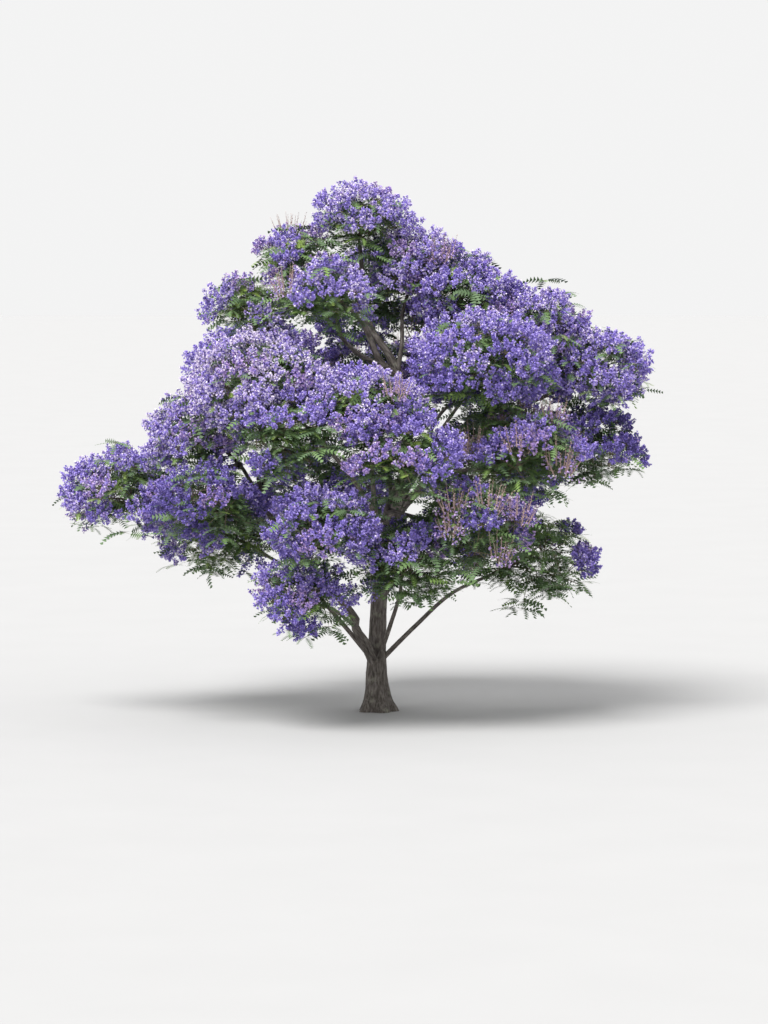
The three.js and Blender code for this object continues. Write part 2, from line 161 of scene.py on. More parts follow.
# Painted light and shade: how much paler or darker each mass is; the lower ones stand in more shade
PAINTED_LIGHT_BY_MASS = {
    "crest": 0.1, "high_left": 0.1, "high_right": 0.12, "left_knob": 0.2, "right_wing": 0.08,
    "left_shelf": 0.4, "middle_right": -0.05, "belt": 0.05, "left_wing": 0.15, "under_left": -0.45,
    "left_middle": -0.3, "front": -0.15, "low_front": -0.15, "right_middle": -0.2, "right_end": -0.7,
    "low_right": -0.7, "skirt_right": -0.25, "tail_left": -0.1, "tail_right": -0.15, "skirt_left": 0.2,
    "back_low": -0.2, "back_low_right": -0.2,
}
TONE_OF_LEAVES = 0.5  # the share of that painted light and shade that the leaves take
SIDE_TONE = 0.46  # the tone of a spray at the side of its mass
TOP_PAINTED_LIGHT = 0.2  # painted light: how much paler a spray is at the top of its mass
SPRAY_TONE_SPREAD = 0.1

# The bark's relief
TRUNK_SIDES = 72
TRUNK_STEPS = 150
BOUGH_SIDES = 20
BOUGH_STEP = 0.11  # the length of a bough between two of its rings
FISSURE_GRAIN = (24, 24, 5)  # how close the fissures lie, across the limb and along it
FISSURE_DEPTH = 0.07  # as a share of the limb's radius
BULGE_GRAIN = (5, 5, 2)
BULGE_DEPTH = 0.08
FORK_SWELL = 0.5  # how much thicker a bough is where it leaves its parent
FORK_SWELL_LENGTH = 2.2  # in radii of the bough

# Stems and twigs. A twig is its radius at the root and at the tip, and how far it bows up, as a share of
# its length.
STEM_POINTS = 9
STEM_OVERLAP = 0.05  # how far inside its bough's tip a stem starts
TWIG_POINTS = 4
MAIN_TWIG = (TWIG_RADIUS, 0.009, 0.04)
OUTER_TWIG = (0.011, 0.006, 0.06)
INNER_TWIG = (0.01, 0.006, 0.05)
SHOOT_RADII = (0.007, 0.004)

# The sprays at the end of the twigs
SPRAYS = 15  # on a mass, times the square of its half width in metres
SPRAY_LOWEST = -0.85
SPRAY_STRAY = 0.08
SPRAY_SIZES = (0.85, 1.2)
REACH = (0.84, 0.95)  # how far out the sprays reach, as a share of the mass's radius
OUTER_PART = 0.6  # the part of the way from a spray's root to its edge that has to be free of neighbours
CROWDED_REACH = (0.85, 0.7, 0.55)  # how far out a spray starts that has its neighbours in the way
INNER_SPRAYS = 11
INNER_SHELL = (0.3, 0.66)  # how far out the shaded sprays start
INNER_SHELL_BELOW = 0.4  # how much further out they start at the bottom of the mass
LEAFY_IN_BLOOM = 0.13  # the share of the sprays above the bloom line that are leafy all the same
LEAFY_BY_MASS = {
    "crest": 0.14, "high_left": 0.4, "high_right": 0.05, "left_knob": 0.4, "upper_centre": 0.32,
    "right_shoulder": 0.32, "right_wing": 0.04, "left_shelf": 0.07, "middle_right": 0.08,
    "left_wing": 0.02, "under_left": 0.3, "front": 0.06, "low_front": 0.02, "right_middle": 0.3,
    "right_end": 0.16, "low_right": 0.02, "skirt_right": 0.42, "skirt_left": 0.3,
}
BLOOM_BELOW_LINE = 0.1  # the share below it that blossom
BLOOM_LINE_BLUR = 0.14

# The light that a spray needs for blossom. Other masses are looked for at some distances from it, upwards
# and away from the middle of the crown.
CROWN_MIDDLE = np.array([-0.3, 0.0, 6.2])
LIGHT_REACH = np.array([[0.5], [1.0], [1.5], [2.0]])
COVERED_DEPTH = 0.85  # a place deeper than this in a mass is covered
COVERED_PLACES = 2  # so many covered places leave the spray in the shade

# A dome of blossom
DOME_LIFT = 0.6  # how far its axis turns up from the way out of the mass
DOME_PANICLES = 13
DOME_SHOOTS = np.array([0.22, 0.22, 0.14])  # the shoots under its panicles, level and upright
DOME_SHOOT_SIZES = (0.8, 1.15)
DOME_LOWEST = -0.2
DOME_STRAY = 0.1
DOME_DEPTH = 0.38  # how far inside the edge of its mass it starts
DOME_LEAVES = 4
DOME_LEAF_SIZE = 0.85
DOME_LEAVES_BELOW = 0.24  # how far under the dome's root they grow
PANICLE_HEIGHT = (0.18, 0.28)
PANICLE_WIDTH = 0.76  # as a share of its height
PANICLE_LIFT = 0.7
PANICLE_STRAY = 0.12
PANICLE_TONE_SPREAD = 0.07

# The flowers of a panicle
FLOWERS_BY_PANICLE = 20
FLOWER_LENGTH = 0.05
FLOWER_TAPER = (1.1, 0.85)  # how large they are at the panicle's foot and at its tip
FLOWER_LIFT = (-0.3, 0.8)  # how far they turn down at its foot and up at its tip
FLOWER_SIZES = (0.8, 1.25)
FLOWER_REACH = (0.6, 1.3)  # how far out they end, as a share of the panicle's radius
FLOWER_INSIDE = 0.8  # the share of a flower that lies inside that
FLOWER_STRAY = 0.4
FLOWER_PAINTED_LIGHT_RISE = 0.25  # painted light: how much paler the tip of a panicle is than its foot
FLOWER_TONE_SPREAD = 0.24
FLOWER_MOUTH = 1.1  # its width as a share of its length
FLOWER_MOUTH_PLACE = 0.95  # along its length
FLOWER_LOBES = ((90, 56), (213, 48), (327, 48))  # the middle and half width of each, in degrees
SHADED_PETALS = 5  # within each panicle
SHADED_PETAL_LENGTH = 0.1
SHADED_PETAL_SIZES = (0.8, 1.2)
SHADED_PETAL_REACH = 0.4  # how far out they are, as a share of the panicle's radius
SHADED_PETAL_STRAY = 0.7

# A spray of leaves: tiers of level leaves, one over the other
LEAFY_DEPTH = np.array([0.76, 0.76, 0.42])  # how far inside the edge it starts, level and upright
LEAF_TIERS = 2
TIER_RISE = 0.16
TIER_STRAY = 0.05
TIER_SHRINK = 0.12  # how much smaller each tier is than the one below it
TIER_PAINTED_LIGHT = 0.1  # and how much paler, as painted light
TIER_LEAVES = 10
TIER_SHOOT = (0.08, 0.24)
TIER_SLOPE = (-0.16, 0.2)
LEAF_TILT = 0.18  # how unevenly the leaves lie
LEAF_STRAY = 0.1
LEAF_TONE_SPREAD = 0.14
SHADED_TIER_LEAVES = 6
SHADED_TIER_STRAY = 0.1
SHADED_SIZE = 1.1
# painted shade: this low tone puts the leaves inside the crown in the shaded greens
SHADED_TONE = 0.15
SHADED_TILT = 0.45
LEAF_LENGTH = (0.28, 0.42)
LEAF_DROOPS = (0.15, 0.32, 0.5)
PINNA_LENGTH = 0.25  # as a share of the leaf's length
PINNA_WIDTH = {"lit": 0.6, "shaded": 0.85}  # as a share of the way from one pinna to the next
PINNA_LEAN = 0.4  # towards the leaf's tip
PINNA_DROOP = 0.16
FIRST_PINNA, LAST_PINNA = 0.1, 0.95  # along the leaf
MIDRIB = 0.012
OUTER_PINNA_PAIRS = 10
SHADED_PINNA_PAIRS = 6

# A spent panicle, as shares of its height
SPENT_STALK = 0.028
SPENT_SIDE_STALKS = 16
SPENT_SIDE_LENGTH = (0.16, 0.05)  # of the lowest and the highest
SPENT_SIDE_WIDTH = 0.024
SPENT_LIFT = 1.5

FLOWER_SEED, PETAL_SEED, SPENT_SEED = 500, 550, 600

UP = np.array([0.0, 0.0, 1.0])


# Small sums on arrays of points and directions

def lerp(a, b, share):
    return a + (b - a) * share


def unit(v):
    v = np.asarray(v, float)
    return v / np.maximum(np.linalg.norm(v, axis=-1, keepdims=True), 1e-12)


def basis_along(direction):
    """A matrix that turns +X to a direction and keeps +Y level."""
    level = np.cross(UP, direction)
    if level @ level < 1e-6:
        level = np.array([0.0, 1.0, 0.0])
    level = unit(level)
    return np.column_stack([direction, level, np.cross(direction, level)])


def frames_along(forward, upward):
    """Matrices that turn +X to each forward direction, with +Z as near as can be to each upward one."""
    x = unit(forward)
    y = unit(np.cross(upward, x))
    return np.stack([x, y, np.cross(x, y)], -1)


def seeded(seed):
    """A stream of numbers from 0 to 1, the same as in the part."""
    multiplier, modulus = 16807, 2147483647
    state = seed * 7919 + 104729
    while True:
        state = state * multiplier % modulus
        yield state / modulus


class Spline:
    """A smooth curve through points, measured along its length."""

    DIVISIONS = 200

    def __init__(self, points):
        p = np.array(points, float)
        self.points = np.vstack([2 * p[0] - p[1], p, 2 * p[-1] - p[-2]])
        self.times = np.linspace(0, 1, self.DIVISIONS + 1)
        steps = np.diff(self.at_time(self.times), axis=0)
        self.lengths = np.concatenate([[0], np.cumsum(np.linalg.norm(steps, axis=1))])
        self.length = self.lengths[-1]

    def at_time(self, time):
        spans = len(self.points) - 3
        x = np.clip(time, 0, 1) * spans
        i = np.minimum(x.astype(int), spans - 1)
        w = (x - i)[..., None]
        before, a, b, after = (self.points[i + k] for k in range(4))
        leave, arrive = (b - before) / 2, (after - a) / 2
        square = 3 * (b - a) - 2 * leave - arrive
        cube = 2 * (a - b) + leave + arrive
        return a + w * (leave + w * (square + w * cube))

    def time_at(self, share):
        return np.interp(np.asarray(share, float) * self.length, self.lengths, self.times)

    def at(self, share):
        return self.at_time(self.time_at(share))

    def tangent(self, share):
        time = self.time_at(share)
        reach = 1e-4
        return unit(self.at_time(np.minimum(time + reach, 1)) - self.at_time(np.maximum(time - reach, 0)))


# The growth of the limbs, as in the part

class Mass:
    """One mass of foliage: the ellipsoid that is its space, and where its bough enters it."""

    def __init__(self, name, parent, middle, spread, bloom, seen):
        self.name, self.parent, self.spread, self.bloom = name, parent, spread, bloom
        self.seen = [np.array(p, float) for p in seen]
        self.middle = np.array(middle, float)
        self.half = spread * np.array([1, MASS_DEPTH, MASS_HEIGHT])
        hub = np.array([0, 0, self.middle[2] * HUB_HEIGHT])
        self.outward = unit((self.middle - hub) / self.half)
        self.foot = self.middle - FOOT_DEPTH * self.outward * self.half
        self.pole = unit(self.outward * POLE_LEAN + UP)

    def depth(self, points):
        return np.linalg.norm((points - self.middle) / self.half, axis=-1)


class Limb:
    def __init__(self, curve, radius_at):
        self.curve, self.radius_at = curve, radius_at


masses = [Mass(*row) for row in PLAN]


def own_space(mass, points):
    """Whether each point lies in a mass's own space: inside it, and deeper in it than in any other."""
    own = mass.depth(points)
    others = [m.depth(points) for m in masses if m is not mass]
    return (own <= 1) & (np.min(others, axis=0) > own + SPACE_MARGIN)


def load_on(name):
    return 1 + sum(load_on(mass.name) for mass in masses if mass.parent == name)


def trunk_limb():
    curve = Spline(TRUNK_PATH)

    def radius_at(share, angle):
        height = np.maximum(curve.at(share)[..., 2], 0)
        flare = np.exp(-height / FLARE_HEIGHT)
        taper = lerp(TRUNK_RADIUS, TRUNK_TOP_RADIUS, np.asarray(share, float) ** TRUNK_TAPER)
        return taper * (1 + FLARE * flare) * (1 + ROOT_LOBE_DEPTH * flare * np.cos(ROOT_LOBES * angle))

    return Limb(curve, radius_at)


def fork_share(parent, target):
    shares = np.arange(FORK_LOWEST, FORK_HIGHEST + FORK_STEP / 2, FORK_STEP)
    ways = target - parent.at(shares)
    lengths = np.linalg.norm(ways, axis=1)
    cosines = (unit(ways) * parent.tangent(shares)).sum(1)
    return shares[np.argmin(lengths * (1 + FORK_STRAIGHTNESS * (1 - cosines)))]


def bough_limb(mass, parent, random):
    start = parent.at(fork_share(parent, mass.seen[0] if mass.seen else mass.foot))
    from_point = mass.seen[-1] if mass.seen else start
    way = mass.foot - from_point
    span = np.linalg.norm(way)
    side = unit(np.cross(way, UP))

    def bend(share, lift):
        stray = (next(random) * 2 - 1) * BOUGH_WANDER * span
        return from_point + way * share + UP * lift * BOUGH_ARCH * span + side * stray

    bends = [bend(0.5, 1)] if mass.seen else [bend(0.3, 0.8), bend(0.66, 1)]
    base = BOUGH_LOAD_RADIUS * math.sqrt(load_on(mass.name)) + BOUGH_COLLAR

    def radius_at(share, angle):
        return lerp(base, BOUGH_TIP_RADIUS, np.asarray(share, float) ** BOUGH_TAPER) + 0 * angle

    return Limb(Spline([start, *mass.seen, *bends, mass.foot]), radius_at)


def grow_limbs():
    limbs = {"trunk": trunk_limb()}
    waiting = [mass for mass in masses if mass.parent]
    while waiting:
        mass = next(one for one in waiting if one.parent in limbs)
        waiting.remove(mass)
        limbs[mass.name] = bough_limb(mass, limbs[mass.parent].curve, seeded(masses.index(mass)))
    return limbs


limbs = grow_limbs()


def stem_of(mass):
    """The stem carries the bough on to just below the middle of the mass."""
    bough = limbs[mass.name if mass.parent else "trunk"]
    arriving = bough.curve.tangent(1)
    start = bough.curve.at(1)
    top = mass.middle + STEM_TOP * mass.outward * mass.half
    bend = start + arriving * np.linalg.norm(top - start) * STEM_BEND
    return Spline([start, bend, top])


def spread_round(pole, count, turn, lowest):
    """Directions spread evenly round a pole by the golden angle, down to the cosine lowest."""
    i = np.arange(count)
    cosine = 1 - (i + 0.5) / count * (1 - lowest)
    sine = np.sqrt(1 - cosine * cosine)
    angle = turn + i * GOLDEN_ANGLE
    around = np.stack([cosine, sine * np.cos(angle), sine * np.sin(angle)], 1)
    return around @ basis_along(pole).T


def main_twigs(mass, stem, random):
    """The part's own twigs, each as its fork and its end."""
    count = round(TWIGS_PER_METRE * mass.spread)
    twigs = []
    for i, way in enumerate(spread_round(mass.pole, count, next(random) * 2 * math.pi, TWIG_LOWEST)):
        shell = TWIG_SHELL * lerp(1 - TWIG_SHELL_SPREAD, 1 + TWIG_SHELL_SPREAD, next(random))
        next(random)  # the turn of the leaves in the solid
        end = mass.middle + way * mass.half * shell
        fork = stem.at(lerp(TWIG_HIGHEST_FORK, TWIG_LOWEST_FORK, i / count))
        if own_space(mass, end):
            twigs.append((fork, end))
    return twigs


# Meshes

class Pile:
    """Vertices and triangles of one piece, gathered bit by bit."""

    def __init__(self):
        self.points, self.faces, self.places, self.count = [], [], [], 0

    def add(self, points, faces, places=None):
        self.points.append(np.asarray(points, float).reshape(-1, 3))
        self.faces.append(np.asarray(faces).reshape(-1, 3) + self.count)
        if places is not None:
            self.places.append(np.asarray(places, float).reshape(-1, 3))
        self.count += len(self.points[-1])

    def piece(self, name, material, slot, nodes, smooth=False):
        """The gathered mesh as an object that stands for CAD nodes."""
        mesh = bpy.data.meshes.new(name)
        mesh.from_pydata(np.concatenate(self.points), [], np.concatenate(self.faces))
        if self.places:
            place = mesh.attributes.new("place", "FLOAT_VECTOR", "POINT")
            place.data.foreach_set("vector", np.concatenate(self.places).ravel())
        mesh.polygons.foreach_set("use_smooth", [smooth] * len(mesh.polygons))
        mesh.materials.append(material)
        made = bpy.data.objects.new(name, mesh)
        bpy.context.scene.collection.objects.link(made)
        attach(made, "root")
        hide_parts(*nodes)
        print(name, len(mesh.polygons), "triangles")


def tube_faces(rings, sides, first=0):
    """Triangles between rings of vertices, laid out ring after ring."""
    ring, side = np.meshgrid(np.arange(rings - 1), np.arange(sides), indexing="ij")
    a = first + ring * sides + side
    b = first + ring * sides + (side + 1) % sides
    quads = np.stack([a, b, b + sides, a, b + sides, a + sides], -1)
    return quads.reshape(-1, 3)


def add_tubes(pile, paths, radii, sides):
    """Tapering twigs in one go, from paths (twig, point, 3) and radii (twig, point), each with a tip."""
    count, points = radii.shape
    along = np.gradient(paths, axis=1)
    reference = np.where(np.abs(unit(along)[..., 2:]) > 0.9, [1.0, 0, 0], [0, 0, 1.0])
    across = unit(np.cross(along, reference))
    above = unit(np.cross(along, across))
    angle = np.arange(sides) * 2 * math.pi / sides
    cosine, sine = np.cos(angle)[:, None], np.sin(angle)[:, None]
    round_it = cosine * across[:, :-1, None] + sine * above[:, :-1, None]
    rings = paths[:, :-1, None] + round_it * radii[:, :-1, None, None]
    vertices = np.concatenate([rings.reshape(count, -1, 3), paths[:, -1:]], 1)
    last = (points - 2) * sides
    side = np.arange(sides)
    tip = np.stack([last + side, last + (side + 1) % sides, np.full(sides, last + sides)], 1)
    faces = np.concatenate([tube_faces(points - 1, sides), tip])
    offset = np.arange(count)[:, None, None] * vertices.shape[1]
    pile.add(vertices, faces + offset)


def add_copies(pile, template, frames, places, sizes):
    """A copy of a template at each place, turned by its frame and scaled to its size."""
    points, faces = template
    turned = np.einsum("nij,kj->nki", frames, points) * sizes[:, None, None]
    offset = np.arange(len(places))[:, None, None] * len(points)
    pile.add(turned + places[:, None], faces + offset)


# Shaders

class Wire:
    """A shader socket that sums can be written with."""

    def __init__(self, tree, socket):
        self.tree, self.socket = tree, socket

    def math(self, operation, a, b):
        return self.tree.node("Math", {"operation": operation}, {0: a, 1: b})

    def __add__(self, other):
        return self.math("ADD", self, other)

    def __sub__(self, other):
        return self.math("SUBTRACT", self, other)

    def __rsub__(self, other):
        return self.math("SUBTRACT", other, self)

    def __mul__(self, other):
        return self.math("MULTIPLY", self, other)

    __radd__ = __add__
    __rmul__ = __mul__


class Finish:
    """A material and its nodes."""

    def __init__(self, name):
        self.material = bpy.data.materials.new(name)
        self.material.use_nodes = True
        self.tree = self.material.node_tree
        self.tree.nodes.clear()

    def node(self, kind, settings=None, sockets=None, output=0):
        """Adds a node: its settings first, then the values or wires of its sockets."""
        node = self.tree.nodes.new("ShaderNode" + kind)
        for name, value in (settings or {}).items():
            if name == "stops":
                set_stops(node.color_ramp, value)
            else:
                setattr(node, name, value)
        for name, value in (sockets or {}).items():
            if isinstance(value, Wire):
                self.tree.links.new(value.socket, node.inputs[name])
            else:
                node.inputs[name].default_value = value
        return Wire(self, node.outputs[output])

    def mix(self, share, first, second):
        """A mix of two colours."""
        return self.node("Mix", {"data_type": "RGBA"}, {0: share, 6: first, 7: second}, 2)

    def stretched(self, vector, scale):
        return self.node("VectorMath", {"operation": "MULTIPLY"}, {0: vector, 1: scale})

    def place(self):
        return self.node("TexCoord", output="Object")

    def noise(self, vector, scale, detail=2.0, roughness=0.5):
        sockets = {"Vector": vector, "Scale": scale, "Detail": detail, "Roughness": roughness}
        return self.node("TexNoise", None, sockets, "Fac")

    def ramp(self, value, stops):
        return self.node("ValToRGB", {"stops": stops}, {"Fac": value}, "Color")

    def bump(self, height, strength, distance):
        sockets = {"Height": height, "Strength": strength, "Distance": distance}
        return self.node("Bump", None, sockets)

    def surface(self, **sockets):
        """Ends the material in its shader. A keyword is the socket's name with _ for the space."""
        named = {name.replace("_", " "): value for name, value in sockets.items()}
        shader = self.node("BsdfPrincipled", None, named)
        end = self.tree.nodes.new("ShaderNodeOutputMaterial")
        self.tree.links.new(shader.socket, end.inputs["Surface"])
        return self.material


def set_stops(ramp, stops):
    while len(ramp.elements) < len(stops):
        ramp.elements.new(0.5)
    for element, (position, colour) in zip(ramp.elements, stops):
        element.position, element.color = position, colour


def colour(red, green, blue):
    """A colour in the usual 0 to 255 steps, as the shader's linear one."""
    parts = [x / 255 for x in (red, green, blue)]
    return (*[x / 12.92 if x <= 0.04045 else ((x + 0.055) / 1.055) ** 2.4 for x in parts], 1)


def shaded(tone, factor):
    return (*[min(x * factor, 1) for x in tone[:3]], 1)


def bark_finish():
    """Grey-brown bark: long fissures, small plates and a few pale patches of lichen."""
    finish = Finish("bark")
    place = finish.node("Attribute", {"attribute_name": "place"}, output="Vector")
    fissures = finish.noise(finish.stretched(place, (26, 26, 5)), 1, 5, 0.62)
    plates = finish.noise(finish.stretched(place, (60, 60, 26)), 1, 3, 0.55)
    lichen = finish.ramp(finish.noise(place, 3.1, 4, 0.6), [(0.56, (0, 0, 0, 1)), (0.66, (1, 1, 1, 1))])
    wood = finish.ramp(fissures, [
        (0.34, colour(44, 41, 39)),
        (0.48, colour(90, 85, 81)),
        (0.68, colour(138, 132, 127)),
    ])
    speckled = finish.mix(plates * 0.45, wood, colour(88, 78, 68))
    tinted = finish.mix(lichen * 0.4, speckled, colour(158, 158, 142))
    relief = finish.bump(fissures + plates * 0.4, 0.8, 0.02)
    return finish.surface(Base_Color=tinted, Roughness=0.95 - 0.15 * plates, Normal=relief)


def twig_finish():
    """Young brown-grey bark with paler pores."""
    finish = Finish("twig_bark")
    place = finish.place()
    pores = finish.noise(place, 45, 3, 0.6)
    patches = finish.noise(place, 2.5, 2)
    young = finish.mix(patches, colour(92, 80, 66), colour(112, 102, 84))
    tinted = finish.mix(pores * 0.6, young, colour(138, 128, 112))
    return finish.surface(Base_Color=tinted, Roughness=0.85, Normal=finish.bump(pores, 0.5, 0.004))


def petal_finish(name, tone):
    """Thin crinkled petals: faintly mottled, with a soft satin sheen."""
    finish = Finish(name)
    place = finish.place()
    mottle = finish.noise(place, 30, 2)
    crinkle = finish.noise(place, 190, 2)
    tinted = finish.mix(mottle, shaded(tone, 0.8), shaded(tone, 1.2))
    relief = finish.bump(crinkle, 0.35, 0.003)
    return finish.surface(Base_Color=tinted, Roughness=0.45 + 0.3 * crinkle, Normal=relief)


def leaf_finish(name, tone):
    """Fern-like leaflets: mottled green, with the fine comb of the leaflets as relief."""
    finish = Finish(name)
    place = finish.place()
    mottle = finish.noise(place, 9, 3, 0.6)
    leaflets = finish.noise(place, 140, 2)
    tinted = finish.mix(mottle, shaded(tone, 0.7), shaded(tone, 1.3))
    relief = finish.bump(leaflets, 0.5, 0.004)
    return finish.surface(Base_Color=tinted, Roughness=0.5 + 0.25 * leaflets, Normal=relief)


def spent_finish():
    """Dry flower stalks: tan to pinkish brown."""
    finish = Finish("spent_stalks")
    dry = finish.noise(finish.place(), 12, 3)
    tinted = finish.mix(dry, colour(142, 118, 112), colour(200, 176, 168))
    return finish.surface(Base_Color=tinted, Roughness=0.8, Normal=finish.bump(dry, 0.3, 0.003))


# From the deepest to the palest: the tone below which a flower or leaf has this colour. A tone is partly
# random and partly painted light and shade: paler towards the tops, darker low down and inside the crown.
PETALS = [
    ("darkest_violet", -0.1, colour(104, 93, 160)),
    ("deep_violet", 0.14, colour(128, 114, 190)),
    ("dusky_violet", 0.38, colour(152, 136, 213)),
    ("violet", 0.62, colour(175, 158, 231)),
    ("pale_violet", 0.85, colour(202, 187, 247)),
    ("lilac", math.inf, colour(235, 226, 255)),
]
# painted shade: the darker violet of the petals deep in the panicles
SHADED_VIOLET = colour(117, 102, 176)
MAUVE = colour(192, 166, 214)
LEAVES = [
    ("shaded_green", 0.2, colour(88, 112, 76)),
    ("deep_green", 0.42, colour(100, 128, 76)),
    ("green", 0.62, colour(117, 146, 74)),
    ("sunlit_green", math.inf, colour(140, 167, 78)),
]


# Trunk and boughs

def add_bark(pile, limb, sides, steps, swell, first=0.0):
    """A limb's surface with the relief of its bark."""
    share = np.linspace(first, 1, steps + 1)
    points, tangents = limb.curve.at(share), limb.curve.tangent(share)
    least = np.eye(3)[np.argmin(np.abs(tangents[0]))]
    normal = np.cross(tangents[0], unit(np.cross(tangents[0], least)))
    normals = []
    for tangent in tangents:
        normal = unit(normal - (normal @ tangent) * tangent)
        normals.append(normal)
    normals = np.array(normals)
    binormals = np.cross(tangents, normals)
    angle = np.arange(sides) * 2 * math.pi / sides
    radius = limb.radius_at(share[:, None], angle[None])
    along = share[:, None] * limb.curve.length + 0 * angle
    radius = radius * (1 + swell * np.exp(-along / (FORK_SWELL_LENGTH * radius[:1])))
    place = np.stack([np.cos(angle) * radius, np.sin(angle) * radius, along], -1)
    fissures = [noise.turbulence(Vector(p), 3, True) for p in (place * FISSURE_GRAIN).reshape(-1, 3)]
    bulges = [noise.noise(Vector(p)) for p in (place * BULGE_GRAIN).reshape(-1, 3)]
    fissures, bulges = np.reshape(fissures, radius.shape), np.reshape(bulges, radius.shape)
    relief = fissures * FISSURE_DEPTH - bulges * BULGE_DEPTH
    bumpy = (radius * (1 - relief + FISSURE_DEPTH / 2))[..., None]
    round_it = np.cos(angle)[:, None] * binormals[:, None] + np.sin(angle)[:, None] * normals[:, None]
    pile.add(points[:, None] + round_it * bumpy, tube_faces(steps + 1, sides), place)


def trunk_piece():
    """The trunk from the ground up, closed below by its flat cut."""
    trunk = limbs["trunk"]
    pile = Pile()
    lowest_part = np.linspace(0, 0.2, 400)
    at_ground = lowest_part[np.argmax(trunk.curve.at(lowest_part)[:, 2] >= 0)]
    add_bark(pile, trunk, TRUNK_SIDES, TRUNK_STEPS, 0, at_ground)
    foot = pile.points[0][:TRUNK_SIDES]
    foot[:, 2] = 0
    pile.points[0][:, 2] = np.maximum(pile.points[0][:, 2], 0)
    side = np.arange(TRUNK_SIDES)
    cut = np.stack([(side + 1) % TRUNK_SIDES, side, np.full(TRUNK_SIDES, TRUNK_SIDES)], 1)
    middle = foot.mean(0)[None]
    pile.add(np.concatenate([foot, middle]), cut, np.concatenate([foot, middle]))
    pile.piece("trunk_bark", bark, "bark", ["trunk"], smooth=True)


def bough_piece():
    pile = Pile()
    for name, limb in limbs.items():
        if name != "trunk":
            add_bark(pile, limb, BOUGH_SIDES, round(limb.curve.length / BOUGH_STEP), FORK_SWELL)
    nodes = [f"{name}_bough" for name in limbs if name != "trunk"]
    pile.piece("bough_bark", bark, "bark", nodes, smooth=True)


# Sprays: shoots, with panicles or leaves on them

class Sprays:
    """What grows on the twigs, gathered as rows until the pieces are made."""

    def __init__(self):
        self.stems, self.twigs, self.shoots = [], [], []
        self.leaves, self.shaded_leaves, self.panicles = [], [], []

    def stem(self, curve):
        """A stem that starts a little way inside its bough's tip."""
        path = curve.at(np.linspace(0, 1, STEM_POINTS))
        path[0] -= curve.tangent(0) * STEM_OVERLAP
        self.stems.append((path, np.linspace(BOUGH_TIP_RADIUS, STEM_TIP_RADIUS, STEM_POINTS)))
        return path

    def twig(self, start, end, base_radius, tip_radius, lift):
        """A twig that bows upwards by lift times its length. Its path is returned."""
        share = np.linspace(0, 1, TWIG_POINTS)[:, None]
        bow = 4 * share * (1 - share) * lift * np.linalg.norm(end - start)
        path = lerp(start, end, share) + bow * UP
        self.twigs.append((path, np.linspace(base_radius, tip_radius, TWIG_POINTS)))
        return path

    def shoot(self, start, end):
        self.shoots.append((np.array([start, end]), np.array(SHOOT_RADII)))


def leaf_row(root, way, size, tone, tilt, random):
    """A leaf's root, the two directions that turn it, its length and its tone."""
    forward = unit(way + random.normal(0, LEAF_STRAY, 3))
    upward = UP + random.normal(0, tilt, 3)
    length = size * random.uniform(*LEAF_LENGTH)
    return root, forward, upward, length, tone + random.normal(0, LEAF_TONE_SPREAD)


def add_tier(sprays, rows, middle, count, size, tone, tilt, random):
    """Leaves that spread level from a point, some from short shoots."""
    turn = random.uniform(0, 2 * math.pi)
    for k in range(count):
        angle = turn + k * GOLDEN_ANGLE
        way = np.array([math.cos(angle), math.sin(angle), random.uniform(*TIER_SLOPE)])
        root = middle
        if k % 2:
            root = middle + way * size * random.uniform(*TIER_SHOOT)
            sprays.shoot(middle, root)
        rows.append(leaf_row(root, way, size, tone, tilt, random))


def blossom_dome(sprays, end, axis, size, tone, leaf_tone, age, random):
    """Shoots that fan out from a twig's end, each with a panicle, over a tier of leaves."""
    for way in spread_round(axis, DOME_PANICLES, random.uniform(0, 2 * math.pi), DOME_LOWEST):
        way = unit(way + random.normal(0, DOME_STRAY, 3))
        tip = end + way * DOME_SHOOTS * size * random.uniform(*DOME_SHOOT_SIZES)
        sprays.shoot(end, tip)
        upright = unit(way + UP * PANICLE_LIFT + random.normal(0, PANICLE_STRAY, 3))
        height = size * random.uniform(*PANICLE_HEIGHT)
        panicle_tone = tone + random.normal(0, PANICLE_TONE_SPREAD)
        sprays.panicles.append((tip, upright, height, panicle_tone, age))
    below = end - UP * DOME_LEAVES_BELOW * size
    add_tier(sprays, sprays.leaves, below, DOME_LEAVES, DOME_LEAF_SIZE, leaf_tone, LEAF_TILT, random)


def leafy_spray(sprays, end, size, tone, random):
    """Tiers of level leaves round a twig's end, the upper ones smaller and painted paler, as more in the
    light.
    """
    for k in range(LEAF_TIERS):
        middle = end + UP * k * TIER_RISE + random.normal(0, TIER_STRAY, 3)
        tier = (middle, TIER_LEAVES, size * (1 - TIER_SHRINK * k), tone + TIER_PAINTED_LIGHT * k, LEAF_TILT)
        add_tier(sprays, sprays.leaves, *tier, random)


def shaded_spray(sprays, end, random):
    """Larger and simpler leaves that hang every way, inside the crown, painted in darker greens for the
    shade there.
    """
    for k in range(LEAF_TIERS):
        middle = end + UP * k * TIER_RISE + random.normal(0, SHADED_TIER_STRAY, 3)
        tier = (middle, SHADED_TIER_LEAVES, SHADED_SIZE, SHADED_TONE, SHADED_TILT)
        add_tier(sprays, sprays.shaded_leaves, *tier, random)


def nearest_on(paths, target):
    """The point of the twigs that a spray's own twig leaves: near, and not at a twig's root."""
    share = np.linspace(1, TWIG_POINTS - 1, 9)
    candidates = []
    for path in paths:
        k = np.minimum(share.astype(int), TWIG_POINTS - 2)
        candidates.append(lerp(path[k], path[k + 1], (share - k)[:, None]))
    candidates = np.concatenate(candidates)
    return candidates[np.argmin(np.linalg.norm(candidates - target, axis=1))]


